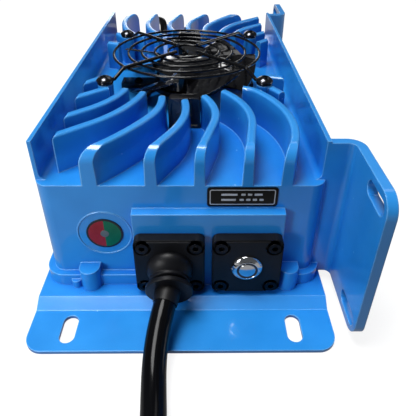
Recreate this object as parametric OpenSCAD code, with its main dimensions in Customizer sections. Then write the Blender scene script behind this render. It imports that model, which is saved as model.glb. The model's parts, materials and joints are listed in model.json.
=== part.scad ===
// Sealed battery charger: finned die-cast tray with a low fan under a wire
// guard, two angled mounting ears, a folded base plate and two cable glands.
// The origin is on the fan axis, on the surface that the feet stand on.
// The front, with the output lead and the push-button, faces -Y.

/* [Part to show] */
// One piece by its name, or all of them

/* [Housing] */
// Width across the side walls
body_w = 123; // [110:1:150]
// Length from the front face to the back face
body_l = 216; // [200:1:270]
// Radius of the upright corners
corner_r = 6; // [4:0.5:8]
// Height of the tray floor that carries the fins
tray_z = 59.5; // [54:0.5:70]
// Rise of the side walls over the tray floor
wall_rise = 18.6; // [14:0.2:24]
// Thickness of the side walls over the tray
wall_t = 1.8; // [1.6:0.1:2.6]
// Thickness of the cast shell under the tray
shell_t = 3; // [2.5:0.1:4]
// Hollow curve between the tray floor and the side walls
cove_r = 3; // [1:0.5:4]
// Distance from the front face to the ends of the side walls
wall_setback = 4.5; // [1:0.5:8]
// Width of the step round the foot of the housing
rim_out = 3.4; // [2:0.2:5]
// Height of the step round the foot of the housing
rim_h = 6.3; // [4:0.1:9]

/* [Cooling fins] */
// Rise of the fins over the tray floor
fin_rise = 17.5; // [12:0.5:20]
// Thickness of a fin under its rounded top
fin_t = 3.8; // [3:0.1:5]
// Extra thickness of a fin at the floor
fin_draft = 0.8; // [0:0.1:1.5]
// Radius of the top edges of a fin
fin_edge_r = 1.2; // [0.4:0.1:1.4]
// Angle between two neighbouring fins round the fan
fin_pitch = 11.5; // [11:0.1:12]
// Radius of the shoulder where a fin meets the front face
fin_shoulder_r = 7; // [3:0.5:12]
// Gap from the last fin to the side wall
fin_side_gap = 6.5; // [4:0.5:12]

/* [Fan] */
// Distance between two screw posts of the guard
post_span = 82.5; // [80:0.5:90]
// Diameter of a screw post
post_d = 8; // [7:0.5:10]
// Height of the guard's rings over the tray floor
guard_rise = 21.5; // [20:0.5:26]
// Wire diameter of a guard ring
ring_d = 1.4; // [1:0.1:2]
// Wire diameter of a guard arm
arm_d = 1.9; // [1.5:0.1:2.4]
// Number of fan blades
blade_count = 7; // [5:1:9]
// Radius at the tip of a blade
blade_tip_r = 41; // [36:0.5:43]
// Radius of the fan hub
hub_r = 20; // [18:0.5:22]
// Radius of the fan shaft
shaft_r = 1.5; // [1.5:0.1:2]

/* [Base plate and ears] */
// Thickness of the folded base plate
plate_t = 1.6; // [1.2:0.1:2.5]
// Lift of the plate under the housing
plate_lift = 3.1; // [2.6:0.1:5]
// Width by which the base plate passes the housing on each side
plate_side = 4.75; // [3.75:0.25:10]
// Reach of a foot in front of the housing
foot_reach = 37; // [34:0.5:50]
// Radius of the corners of a foot
foot_r = 8; // [3:0.5:10]
// Width of every mounting slot
slot_w = 6.5; // [5:0.1:7]
// Length of a slot in a foot, end to end
foot_slot_l = 14; // [10:0.5:18]
// Distance between the foot slots across the charger
foot_slot_x = 98; // [80:1:108]
// Distance from the housing face to the middle of a foot slot
foot_slot_out = 26; // [24:0.5:28]
// Thickness of an ear
ear_t = 4; // [3:0.5:5]
// Distance from the side wall to the outer face of an ear
ear_out = 13.7; // [10:0.1:20]
// Reach of an ear in front of the ends of the side wall
ear_reach = 39.5; // [37:0.5:45]
// Radius of the free corners of an ear
ear_r = 8; // [4:0.5:12]
// Length of a slot in an ear, end to end
ear_slot_l = 17.5; // [10:0.5:20]
// Distance from the ends of the side wall to the middle of an ear slot
ear_slot_out = 27.8; // [22:0.1:29]
// Height of the lower ear slot
ear_slot_low = 12.2; // [11:0.1:16]
// Distance from the top of an ear down to its upper slot
ear_slot_drop = 6.5; // [6:0.1:9]
// Inner radius of the bend between an ear and its leg
ear_bend_r = 3; // [1:0.5:4]

/* [Connectors] */
// Width of a square connector plate
conn_w = 31; // [29:0.5:34]
// Thickness of a connector plate
conn_t = 5.2; // [4:0.1:8]
// Distance from the edges of a connector plate to its screws
conn_edge = 4; // [4:0.1:4.5]
// Gap between the two connector plates in front
conn_gap = 3.2; // [1:0.1:5]
// Distance from the middle of the housing to the middle of the two plates
pair_x = 11.7; // [10:0.1:12]
// Height of the connector plates over the base plate
conn_lift = 1.6; // [1:0.1:4]
// Projection of the cast pad behind the connector plates
pad_t = 4; // [2:0.1:6]
// Distance from the tray floor down to the top of the cast pad
pad_drop = 11.6; // [11:0.1:14]
// Diameter of the output cable
out_cable_d = 9.8; // [8:0.1:10]
// Diameter of the input cable
in_cable_d = 7; // [6:0.1:8]
// Angle by which a gland leans down
gland_lean = 12; // [0:1:20]
// Diameter of the push-button thread
button_d = 12; // [10:0.1:14]
// Diameter of the cap that is pressed
cap_d = 7.4; // [5:0.1:8]
// Travel of the cap
cap_travel = 1.2; // [0.5:0.1:2]
// Diameter of the charge indicator
lamp_d = 16.3; // [12:0.1:20]

/* [Fits] */
// Radial clearance of a sliding or running fit
run_gap = 0.05; // [0.02:0.01:0.1]
// Radial clearance of a screw in its hole
screw_gap = 0.2; // [0.1:0.05:0.4]
// Gap between pieces that lie side by side
lay_gap = 0.3; // [0.2:0.05:0.6]

/* [Hidden] */

$fn = 48;
eps = 0.01;
// How far a cut passes through what it cuts
over = 1;

// Heights and faces that follow from the sizes
base_z = plate_lift + plate_t;
wall_z = tray_z + wall_rise;
fin_z = tray_z + fin_rise;
ceiling_z = tray_z - shell_t;
front_y = -body_l / 2;
side_x = body_w / 2;
wall_end_y = body_l / 2 - wall_setback;
plate_w = body_w + 2 * plate_side;
ear_top_drop = 0.8;
wall_color = [0.16, 0.45, 0.85];
black = [0.08, 0.08, 0.09];
steel = [0.75, 0.76, 0.78];

// Fins: steps from the middle fin, start radius, start heading, then its runs,
// each a bend radius with its turn, or a zero with a straight length
fin_mid_angle = -89.5;
fin_sink = 1.5;
front_run = body_l / 2 - 74;
FINS = [
    [5, 53, -19, [[0, 14]]],
    [4, 58.5, -59, [[0, 13]]],
    [2.93, 53.4, -12.5, [[13, 41], [59, 70]]],
    [1.88, 52.5, -49, [[46.9, 48.6], [0, front_run]]],
    [0.86, 55.7, -61, [[40, 43], [0, front_run]]],
    [0, 60, -80, [[51, 37], [0, front_run]]],
    [-1, 57, -84.5, [[38, 33], [122, 28]]],
    [-2, 54.7, -102, [[63, 37], [0, 22]]],
    [-2.92, 55.5, -104, [[45, 35], [0, 16]]],
    [-3.67, 59.8, -139, [[0, 20]]],
    [-4.88, 55.7, -135, [[0, 14]]]
];
fin_side_x = side_x - wall_t - fin_side_gap;
fin_side_r = 2;

// Two connector plates in front, the left one for the lead, and one at the back
conn_span = conn_w - 2 * conn_edge;
out_x = pair_x - (conn_w + conn_gap) / 2;
sig_x = pair_x + (conn_w + conn_gap) / 2;
conn_z = base_z + conn_lift + conn_w / 2;
conn_r = 3;
conn_step = 0.6;
conn_step_h = 0.8;
gasket_t = 0.5;
conn_recess_r = 3.9;
conn_recess_h = 1.9;
m3_r = 1.5;
m3_head_r = 2.75;
m3_head_h = 2.2;
m3_l = 9;
pan_head_r = 2.8;
pan_head_h = 2;
pan_l = 8;
pad_side = 0.4;
pad_slope = 0.7;
pad_left = out_x - conn_w / 2 - pad_side;
pad_right = sig_x + conn_w / 2 + pad_side;
pad_z = tray_z - pad_drop;
back_pad_z = conn_z + conn_w / 2 + 2.6;
pad_face_y = front_y - pad_t;
plate_back_y = pad_face_y - gasket_t;
plate_face_y = plate_back_y - conn_t;
cable_gap = 1;
dome_r = conn_w / 2 - 2.5;
dome_h = 4.6;
gland_drop = 3.6;
gland_z = conn_z - gland_drop;
collar_r = 10.3;
collar_t = 2.6;
neck_r = 8.6;
neck_l = 7.6;
neck_step = 2.2;
cable_grip = 0.2;
in_x = 22;
in_scale = 0.8;

// Screw bosses on the faces, seen from the front: distance from the middle
boss_r = 4.7;
boss_left_x = -43;
boss_right_x = sig_x + conn_w / 2 + boss_r;
boss_out = 3;
boss_z = 16;
boss_slope = 1.5;
nub_r = 2.2;
nub_gap = 6.9;
nub_h = 4;

// Fan
post_x = post_span / 2;
post_z = fin_z + 0.2;
ring_z = tray_z + guard_rise;
ring_radii = [42.7, 34.4, 26.6, 19, 11.1];
weld_sink = 0.2;
arm_z = ring_z + (ring_d + arm_d) / 2 - weld_sink;
knee_d = arm_d + 0.1;
arm_inner_r = 8.5;
arm_bend_r = 46;
loop_r = 3.3;
loop_z = post_z + arm_d / 2;
guard_head_r = 4.6;
guard_head_h = 2.5;
guard_screw_r = 2;
guard_screw_l = 10;
screw_end_gap = 1;
blade_low_z = tray_z + 6.8;
blade_top_z = tray_z + 18;
blade_twist = -42;
blade_phase = -90;
blade_sector = 4.5;
hub_low_z = tray_z + 3.8;
hub_top_z = tray_z + 15.5;
hub_wall = 1.7;
hub_roof = 3;
hub_crown_r = 4 * hub_r;
blade_root = 0.8;
fan_floor_t = 3;
fan_arm_w = 10;
fan_leg_w = 16;
fan_leg_in = 51.5;
fan_leg_out = 57.2;
fan_leg_z = tray_z + 16.5;
fan_leg_angles = [-90, 90];
fan_arm_angles = [-90, 0, 90, 180];
fan_arm_end = 40;
fan_screw_r = 30;
fan_leg_r = 2;
leg_panel_rim = 1.6;
leg_panel_depth = 0.6;
stator_r = hub_r - hub_wall - 1;
stator_teeth = 6;
bearing_r = 4;
bearing_h = 2.5;
bearing_low_z = tray_z + 1;
tube_wall = 1.5;
tube_top_z = hub_top_z - 4;
shaft_cover = 1;

// Base plate
joggle_start = 10;
joggle_run = 5.4;
joggle_shift = 0.6;
foot_y = body_l / 2 + foot_reach;

// Push-button
bezel_r = button_d / 2 + 1;
bezel_h = 1.9;
bezel_edge = 1.1;
lit_ring_r = cap_d / 2 + 0.9;
lit_ring_h = 0.7;
lit_ring_sink = 1;
button_len = 20;
button_end_t = 2;
nut_across = button_d + 3;
nut_h = 2.5;
cap_len = 6;
cap_out = 0.3;
spring_wall = 1;
spring_gap = 0.6;

// Charge indicator and label
embossed_r = 12.2;
embossed_t = 0.5;
embossed_h = 0.3;
lamp_x = pad_left - embossed_r - 0.9;
lamp_z = 33.7;
film_t = 0.4;
lamp_rim = 0.9;
led_r = 1.9;
led_flange = 0.6;
label_x = 26;
label_z = tray_z - 5.6;
label_w = 30;
label_h = 10;
label_r = 1.5;

// Board inside
board_w = 108;
board_l = 190;
board_t = 1.6;
board_z = 12;
board_screw_x = 48;
board_screw_y = 88;
pillar_r = 4;
board_top = board_z + board_t;
core_w = 40;
core_l = 34;
core_h = ceiling_z - board_top - 8.9;
core_limb = 6;
core_window_w = 8.5;
core_yoke = 8;
winding_w = 27;
winding_l = 42;
winding_h = core_h - 2 * core_yoke - 2;
capacitor_r = 11;
capacitor_h = ceiling_z - board_top - 4.9;
capacitor_pitch = 28;
capacitor_y = 55;
choke_r = 18;
choke_hole_r = 8;
choke_h = 20;
choke_y = -55;

// Fan lead from the stator down through the tray floor
grommet_x = -24;
grommet_y = -33;
grommet_r = 3;
grommet_lip = 0.6;
lead_r = 1;
LEAD_ROUTE = [[-19.8, -9.6, 1.3], [-21.2, -11.5, 1.2], [-22.5, -15, 1.1], [-23, -21, 1.1],
    [-23.6, -27, 1.2], [-23.9, -30, 1.4], [-24, -32, 1.2], [-24, -32.9, 0.2], [-24, -33, -1],
    [-24, -33, -5]];

// Cable routes, thick lead in front and mains lead behind
out_coil_c = [46, -245];
out_coil_r = 49;
out_coil_wires = 2;
OUT_ROUTE = [[-5.4, -121.6, 17.4], [-5.8, -125.6, 16.5], [-6.6, -130, 15.4], [-7.7, -135.5, 13.6],
    [-8.9, -142, 11], [-9.6, -149, 8.5], [-9.7, -156.5, 6.5], [-9.2, -165, 5.3], [-8.5, -174, 5.1],
    [-8.1, -183, 5.8], [-8, -192, 7.4], [-8, -201, 9.8], [-8, -210, 12.4], [-8, -219, 14.3],
    [-8, -228, 14.7]];
OUT_TAIL = [[-8, -262, 4.9], [-8, -272, 5], [-8, -281, 5.4], [-8, -289, 6.5], [-8, -295, 7.5],
    [-8, -300, 7.8]];
in_coil_c = [-4, 250];
in_coil_r = 37;
in_coil_wires = 3;
IN_ROUTE = [[-22, 122, 17.1], [-22, 129, 16.2], [-22.4, 136.5, 17], [-23.6, 145, 20.6],
    [-25.5, 154.5, 25.6], [-27.5, 165, 31], [-28.6, 175.5, 36.2], [-29, 185.5, 40.7], [-30, 195, 43.9],
    [-32.6, 204, 45.2], [-36.4, 212.4, 43.7], [-40.3, 220, 39.5], [-43.6, 226.6, 33.4], [-46, 232, 26.4],
    [-47.4, 237.2, 19.2], [-48, 243.4, 13.4], [-48, 250, 10.8]];
IN_TAIL = [[40, 237, 3.6], [40, 227, 3.9], [40, 219, 5], [40, 212, 6.6], [40, 206, 7.7], [40, 201, 8]];

// Connector on the output lead and plug on the input lead
plug_w = 37;
plug_l = 46;
plug_h = 15.6;
plug_lip = 5;
plug_lip_in = 4;
plug_lip_cut = 2;
pole_gap = 16.4;
mouth_r = 5.6;
mouth_l = 20;
contact_r = 3.2;
contact_l = 14;
mains_w = 28;
mains_l = 30;
mains_h = 16;
mains_neck_w = 16;
mains_neck_l = 6;
mains_neck_h = 12;
blade_gap = 12.7;
blade_t = 1.6;
blade_l = 16;
blade_w = 6.4;

// Shared shapes
module rounded_outline(w, l, r) {
    translate([-w / 2 + r, -l / 2]) square([w - 2 * r, l]);
    translate([-w / 2, -l / 2 + r]) square([w, l - 2 * r]);
    for (x = [-1, 1], y = [-1, 1]) {
        translate([x * (w / 2 - r), y * (l / 2 - r)]) circle(r);
    }
}

module slot_outline(l, w) {
    square([l - w, w], center = true);
    for (s = [-1, 1]) translate([s * (l - w) / 2, 0]) circle(w / 2);
}

// Lays a shape drawn in XY on a face that looks towards -Y
module on_front(x, y, z) {
    translate([x, y, z]) rotate([90, 0, 0]) children();
}

module both_ends() {
    children();
    rotate([0, 0, 180]) children();
}

module at_conn_screws() {
    for (x = [-1, 1], z = [-1, 1]) {
        translate([x * conn_span / 2, z * conn_span / 2, 0]) children();
    }
}

// Socket screw with its head upwards from z = 0
module socket_screw(r, head_r, head_h, l) {
    difference() {
        union() {
            cylinder(r = head_r, h = head_h);
            translate([0, 0, -l]) cylinder(r = r, h = l + eps);
        }
        translate([0, 0, head_h * 0.45]) cylinder(r = head_r * 0.52, h = head_h, $fn = 6);
    }
}

// Pan-head screw with a cross recess, head upwards from z = 0
module pan_screw(r, head_r, head_h, l) {
    crown_r = (head_r * head_r + head_h * head_h) / (2 * head_h);
    slit_w = head_r * 0.24;
    slit_l = head_r * 1.1;
    difference() {
        union() {
            intersection() {
                cylinder(r = head_r * 0.97, h = head_h);
                translate([0, 0, head_h - crown_r]) sphere(crown_r);
            }
            translate([0, 0, -l]) cylinder(r = r, h = l + eps);
        }
        for (a = [0, 90]) rotate([0, 0, a + 20]) translate([0, 0, head_h]) {
            cube([slit_l, slit_w, head_h], center = true);
        }
    }
}

// A round lead swept along its route, one ring to every point
function unit(v) = v / norm(v);
function heading(p, i) = unit(p[min(i + 1, len(p) - 1)] - p[max(i - 1, 0)]);
function ring_at(p, i, r, sides) =
    let (t = heading(p, i), u = unit(cross(t, [0.02, 0.03, 1])), v = cross(t, u))
    [for (k = [0:sides - 1]) p[i] + r * (cos(360 * k / sides) * u + sin(360 * k / sides) * v)];

module swept_lead(p, r, sides = 12) {
    n = len(p);
    points = [for (i = [0:n - 1]) each ring_at(p, i, r, sides)];
    skin = [for (i = [0:n - 2], k = [0:sides - 1])
        [i * sides + k, i * sides + (k + 1) % sides,
         (i + 1) * sides + (k + 1) % sides, (i + 1) * sides + k]];
    first = [for (k = [sides - 1:-1:0]) k];
    last = [for (k = [0:sides - 1]) (n - 1) * sides + k];
    polyhedron(points, concat(skin, [first, last]), convexity = 6);
}

// Cooling fins
function fin_top_corner(side) = [for (a = side > 0 ? [0:30:90] : [90:-30:0])
    [side * (fin_t / 2 - fin_edge_r + fin_edge_r * cos(a)),
     fin_rise - fin_edge_r + fin_edge_r * sin(a)]];

module fin_section() {
    foot = (fin_t + fin_draft) / 2;
    polygon(concat([[foot, -fin_sink]], fin_top_corner(1), fin_top_corner(-1),
        [[-foot, -fin_sink]]));
}

module fin_runs(runs, i = 0) {
    if (i < len(runs)) {
        bend = runs[i][0];
        turn = runs[i][1];
        if (bend == 0) {
            rotate([90, 0, 90]) linear_extrude(turn) fin_section();
            translate([turn, 0, 0]) fin_runs(runs, i + 1);
        } else {
            translate([0, -bend, 0]) rotate([0, 0, 90 - turn]) {
                rotate_extrude(angle = turn, $fn = 48) translate([bend, 0]) fin_section();
            }
            translate([bend * sin(turn), bend * (cos(turn) - 1), 0]) rotate([0, 0, -turn]) {
                fin_runs(runs, i + 1);
            }
        }
    }
}

// Space that the fins may fill: rounded shoulders front and back, and at the sides
module fin_space() {
    top = fin_z + eps;
    low = tray_z - fin_sink;
    intersection() {
        translate([-side_x, 0, 0]) rotate([90, 0, 90]) linear_extrude(body_w) {
            shouldered_outline(body_l, low, top, fin_shoulder_r);
        }
        translate([0, body_l / 2, 0]) rotate([90, 0, 0]) linear_extrude(body_l) {
            shouldered_outline(2 * fin_side_x, low, top, fin_side_r);
        }
    }
}

module shouldered_outline(w, low, top, r) {
    translate([-w / 2, low]) square([w, top - low - r]);
    translate([-w / 2 + r, low]) square([w - 2 * r, top - low]);
    for (s = [-1, 1]) translate([s * (w / 2 - r), top - r]) circle(r);
}

module fins() {
    intersection() {
        both_ends() for (f = FINS) {
            at = fin_mid_angle + f[0] * fin_pitch;
            translate([f[1] * cos(at), f[1] * sin(at), tray_z]) rotate([0, 0, f[2]]) fin_runs(f[3]);
        }
        fin_space();
    }
}

// Housing
module shell() {
    difference() {
        union() {
            translate([0, 0, base_z]) linear_extrude(tray_z - base_z) {
                rounded_outline(body_w, body_l, corner_r);
            }
            translate([0, 0, base_z]) linear_extrude(rim_h) {
                rounded_outline(body_w + 2 * rim_out, body_l + 2 * rim_out, corner_r + rim_out);
            }
        }
        translate([0, 0, base_z - eps]) linear_extrude(ceiling_z - base_z + eps) {
            rounded_outline(body_w - 2 * shell_t, body_l - 2 * shell_t, corner_r - shell_t + 1);
        }
    }
}

module side_walls() {
    low = tray_z - shell_t / 2;
    for (s = [-1, 1]) {
        translate([0, wall_end_y, 0]) rotate([90, 0, 0]) linear_extrude(2 * wall_end_y) difference() {
            translate([s > 0 ? side_x - wall_t - cove_r : -side_x, low]) {
                square([wall_t + cove_r, wall_z - low]);
            }
            translate([s * (side_x - wall_t - cove_r), tray_z + cove_r - eps]) circle(cove_r);
            translate([s > 0 ? side_x - wall_t - 2 * cove_r : -side_x + wall_t, tray_z + cove_r]) {
                square([2 * cove_r, wall_rise]);
            }
        }
    }
}

module screw_boss(x) {
    translate([x, front_y - boss_out, base_z]) difference() {
        union() {
            cylinder(r = boss_r, h = boss_z - base_z);
            translate([-boss_r, 0, 0]) cube([2 * boss_r, boss_out + shell_t / 2, boss_z - base_z]);
        }
        translate([-boss_r - eps, boss_out, boss_z - base_z]) rotate([-atan(boss_slope / boss_r), 0, 0]) {
            translate([0, -3 * boss_r, 0]) cube([2 * boss_r + over, 3 * boss_r, boss_r]);
        }
    }
}

module face_bosses() {
    screw_boss(boss_left_x);
    screw_boss(boss_right_x);
    translate([boss_left_x - nub_gap, front_y - rim_out, base_z]) cylinder(r = nub_r, h = nub_h);
}

module boss_bores() {
    for (x = [boss_left_x, boss_right_x]) {
        translate([x, front_y - boss_out, base_z - eps]) cylinder(r = m3_r + screw_gap, h = pan_l);
    }
}

// An ear as a folded sheet: a leg out from the wall, a bend, and the ear that runs forwards
module ear() {
    leg_x = side_x - wall_t / 2;
    outer_x = side_x + ear_out;
    bend_x = outer_x - ear_t - ear_bend_r;
    bend_y = -wall_end_y - ear_bend_r;
    low_z = ear_slot_low - slot_w;
    top_z = wall_z - ear_top_drop;
    reach = ear_reach - ear_bend_r;
    difference() {
        union() {
            translate([0, 0, low_z]) linear_extrude(top_z - low_z) {
                translate([leg_x, -wall_end_y]) square([bend_x - leg_x, ear_t]);
                translate([bend_x, bend_y]) intersection() {
                    square(ear_bend_r + ear_t);
                    difference() {
                        circle(ear_bend_r + ear_t);
                        circle(ear_bend_r);
                    }
                }
            }
            translate([outer_x - ear_t, bend_y, 0]) rotate([90, 0, 90]) linear_extrude(ear_t) {
                translate([-reach, low_z + ear_r]) square([reach, top_z - low_z - 2 * ear_r]);
                translate([-reach + ear_r, low_z]) square([reach - ear_r, top_z - low_z]);
                for (z = [low_z + ear_r, top_z - ear_r]) translate([-reach + ear_r, z]) circle(ear_r);
            }
        }
        for (z = [ear_slot_low, top_z - ear_slot_drop]) {
            translate([outer_x - ear_t - over, -wall_end_y - ear_slot_out, z]) rotate([90, 0, 90]) {
                linear_extrude(ear_t + 2 * over) slot_outline(ear_slot_l, slot_w);
            }
        }
    }
}

// Cast pad behind the two connector plates, with a sloping top
module front_pad() {
    translate([pad_left, 0, 0]) rotate([90, 0, 90]) linear_extrude(pad_right - pad_left) {
        pad_outline(pad_z);
    }
}

module back_pad() {
    w = conn_w + 2 * pad_side;
    rotate([0, 0, 180]) translate([in_x - w / 2, 0, 0]) rotate([90, 0, 90]) linear_extrude(w) {
        pad_outline(back_pad_z);
    }
}

module pad_outline(top) {
    inner_y = front_y + shell_t / 2;
    polygon([[inner_y, base_z], [front_y - pad_t, base_z], [front_y - pad_t, top - pad_slope],
        [front_y, top], [inner_y, top]]);
}

module conn_bores(x, middle_r) {
    on_front(x, front_y + shell_t + eps, conn_z) {
        at_conn_screws() cylinder(r = m3_r + screw_gap, h = shell_t + pad_t + over);
        cylinder(r = middle_r, h = shell_t + pad_t + over);
    }
}

module at_board_screws() {
    for (x = [-1, 1], y = [-1, 1]) translate([x * board_screw_x, y * board_screw_y, 0]) children();
}

module board_pillars() {
    at_board_screws() translate([0, 0, board_top]) difference() {
        cylinder(r = pillar_r, h = ceiling_z - board_top + eps);
        translate([0, 0, -eps]) cylinder(r = m3_r + screw_gap, h = pan_l);
    }
}

module at_posts() {
    for (x = [-1, 1], y = [-1, 1]) translate([x * post_x, y * post_x, 0]) children();
}

module at_fan_screws() {
    for (a = fan_arm_angles) rotate([0, 0, a]) translate([fan_screw_r, 0, 0]) children();
}

module housing() {
    color(wall_color) difference() {
        union() {
            shell();
            side_walls();
            fins();
            both_ends() face_bosses();
            ear();
            mirror([0, 1, 0]) ear();
            front_pad();
            back_pad();
            at_posts() translate([0, 0, tray_z - fin_sink]) {
                cylinder(d = post_d, h = post_z - tray_z + fin_sink);
            }
            on_front(lamp_x, front_y + eps, lamp_z) difference() {
                cylinder(r = embossed_r, h = embossed_h + eps);
                cylinder(r = embossed_r - embossed_t, h = over);
            }
        }
        both_ends() boss_bores();
        conn_bores(out_x, out_cable_d / 2 + cable_gap);
        conn_bores(sig_x, button_d / 2 + screw_gap);
        rotate([0, 0, 180]) conn_bores(in_x, in_cable_d / 2 + cable_gap);
        at_posts() translate([0, 0, post_z - guard_screw_l]) {
            cylinder(r = guard_screw_r + screw_gap, h = guard_screw_l + eps);
        }
        at_fan_screws() translate([0, 0, ceiling_z - eps]) {
            cylinder(r = m3_r + screw_gap, h = shell_t + over);
        }
        translate([grommet_x, grommet_y, ceiling_z - over]) {
            cylinder(r = grommet_r, h = shell_t + 2 * over);
        }
        on_front(lamp_x, front_y + shell_t + eps, lamp_z) {
            cylinder(r = led_r + screw_gap, h = shell_t + over);
        }
    }
    color(wall_color) board_pillars();
}

// Base plate
module at_base_screws() {
    both_ends() for (x = [boss_left_x, boss_right_x]) translate([x, front_y - boss_out, 0]) children();
}

module base_plate() {
    flat = body_l / 2 + joggle_start;
    bent = flat + joggle_run;
    end = foot_y + over;
    color(wall_color) difference() {
        intersection() {
            translate([-plate_w, 0, 0]) rotate([90, 0, 90]) linear_extrude(2 * plate_w) polygon([
                [-end, 0], [-bent, 0], [-flat, plate_lift], [flat, plate_lift], [bent, 0], [end, 0],
                [end, plate_t], [bent + joggle_shift, plate_t], [flat + joggle_shift, base_z],
                [-flat - joggle_shift, base_z], [-bent - joggle_shift, plate_t], [-end, plate_t]]);
            translate([0, 0, -over]) linear_extrude(base_z + 2 * over) {
                rounded_outline(plate_w, 2 * foot_y, foot_r);
            }
        }
        for (x = [-1, 1], y = [-1, 1]) {
            translate([x * foot_slot_x / 2, y * (body_l / 2 + foot_slot_out), -over]) rotate([0, 0, 90]) {
                linear_extrude(plate_t + 2 * over) slot_outline(foot_slot_l, slot_w);
            }
        }
        at_base_screws() cylinder(r = m3_r + screw_gap, h = base_z + over);
    }
}

module base_screws() {
    color(steel) at_base_screws() translate([0, 0, plate_lift]) rotate([180, 0, 0]) {
        pan_screw(m3_r, pan_head_r, pan_head_h, pan_l);
    }
}

// Fan
module fan_base() {
    panel_w = fan_leg_w - 2 * leg_panel_rim;
    panel_h = fan_leg_z - tray_z - 2 * leg_panel_rim;
    color(black) difference() {
        union() {
            translate([0, 0, tray_z]) cylinder(r = hub_r + 1, h = fan_floor_t);
            translate([0, 0, tray_z]) cylinder(r = bearing_r + tube_wall, h = tube_top_z - tray_z);
            for (a = fan_arm_angles) rotate([0, 0, a]) translate([hub_r, -fan_arm_w / 2, tray_z]) {
                cube([fan_arm_end - hub_r, fan_arm_w, fan_floor_t]);
            }
            for (a = fan_leg_angles) rotate([0, 0, a]) {
                translate([hub_r, -fan_arm_w / 2, tray_z]) {
                    cube([fan_leg_in - hub_r + over, fan_arm_w, fan_floor_t]);
                }
                translate([fan_leg_in, 0, tray_z]) rotate([90, 0, 90]) {
                    linear_extrude(fan_leg_out - fan_leg_in) {
                        leg_outline(fan_leg_w, fan_leg_z - tray_z, fan_leg_r);
                    }
                }
            }
        }
        translate([0, 0, bearing_low_z]) cylinder(r = bearing_r, h = fin_rise);
        at_fan_screws() translate([0, 0, tray_z - over]) {
            cylinder(r = m3_r + screw_gap, h = fan_floor_t + 2 * over);
        }
        for (a = fan_leg_angles) rotate([0, 0, a]) {
            translate([fan_leg_out - leg_panel_depth, 0, tray_z + leg_panel_rim]) rotate([90, 0, 90]) {
                linear_extrude(leg_panel_depth + over) leg_outline(panel_w, panel_h, fan_leg_r);
            }
        }
    }
}

// Outline with two rounded corners at the top, standing on the X axis
module leg_outline(w, h, r) {
    translate([-w / 2, 0]) square([w, h - r]);
    translate([-w / 2 + r, 0]) square([w - 2 * r, h]);
    for (s = [-1, 1]) translate([s * (w / 2 - r), h - r]) circle(r);
}

module fan_base_screws() {
    color(steel) at_fan_screws() translate([0, 0, tray_z + fan_floor_t]) {
        pan_screw(m3_r, pan_head_r, pan_head_h, fan_floor_t + shell_t);
    }
}

module fan_stator() {
    tube_r = bearing_r + tube_wall;
    foot_h = 1.2;
    tooth_z = 1;
    tooth_w = 4;
    tooth_h = 6;
    shoe_w = 12;
    shoe_t = 3;
    yoke_t = 2.5;
    yoke_h = 7.5;
    color([0.7, 0.4, 0.2]) translate([0, 0, tray_z + fan_floor_t]) difference() {
        union() {
            at_teeth() translate([tube_r, -tooth_w / 2, tooth_z]) {
                cube([stator_r - tube_r - 1, tooth_w, tooth_h]);
            }
            cylinder(r = tube_r + yoke_t, h = yoke_h);
            cylinder(r = stator_r, h = foot_h);
            intersection() {
                cylinder(r = stator_r, h = tooth_z + tooth_h);
                at_teeth() translate([stator_r - shoe_t, -shoe_w / 2, tooth_z]) {
                    cube([shoe_t + over, shoe_w, tooth_h]);
                }
            }
        }
        translate([0, 0, -over]) cylinder(r = tube_r, h = yoke_h + 2 * over);
    }
}

module at_teeth() {
    for (k = [0:stator_teeth - 1]) rotate([0, 0, 360 * k / stator_teeth]) children();
}

module fan_bearings() {
    color(steel) for (z = [bearing_low_z, tube_top_z - bearing_h]) translate([0, 0, z]) difference() {
        cylinder(r = bearing_r, h = bearing_h);
        translate([0, 0, -over]) cylinder(r = shaft_r + run_gap, h = bearing_h + 2 * over);
    }
}

module fan_shaft() {
    low = bearing_low_z + lay_gap;
    color(steel) translate([0, 0, low]) cylinder(r = shaft_r, h = hub_top_z - shaft_cover - low);
}

module impeller() {
    color(black) {
        difference() {
            union() {
                intersection() {
                    translate([0, 0, hub_low_z]) cylinder(r = hub_r, h = hub_top_z - hub_low_z);
                    translate([0, 0, hub_top_z - hub_crown_r]) sphere(hub_crown_r, $fn = 72);
                }
                for (k = [0:blade_count - 1]) {
                    rotate([0, 0, blade_phase + 360 * k / blade_count]) blade();
                }
            }
            translate([0, 0, hub_low_z - over]) {
                cylinder(r = hub_r - hub_wall, h = hub_top_z - hub_low_z - hub_roof + over);
            }
            translate([0, 0, tube_top_z]) cylinder(r = shaft_r, h = hub_top_z - shaft_cover - tube_top_z);
        }
    }
}

module blade() {
    root = hub_r - blade_root;
    side = [cos(blade_sector), sin(blade_sector)];
    translate([0, 0, blade_low_z]) {
        linear_extrude(blade_top_z - blade_low_z, twist = blade_twist, slices = 8, $fn = 8) {
            polygon([[root, 0], [blade_tip_r, 0], blade_tip_r * side, root * side]);
        }
    }
}

module fan_lead() {
    color(black) translate([0, 0, tray_z]) swept_lead(LEAD_ROUTE, lead_r, 8);
}

module rod(from, to, r) {
    v = to - from;
    translate(from) rotate([0, acos(v[2] / norm(v)), atan2(v[1], v[0])]) {
        cylinder(r = r, h = norm(v), $fn = 24);
    }
}

module lead_grommet() {
    color([0.15, 0.15, 0.15]) translate([grommet_x, grommet_y, ceiling_z - grommet_lip]) difference() {
        union() {
            cylinder(r = grommet_r - run_gap, h = shell_t + grommet_lip);
            cylinder(r = grommet_r + grommet_lip, h = grommet_lip);
        }
        translate([0, 0, -over]) cylinder(r = lead_r + 2 * screw_gap, h = shell_t + 2 * over);
    }
}

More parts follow.
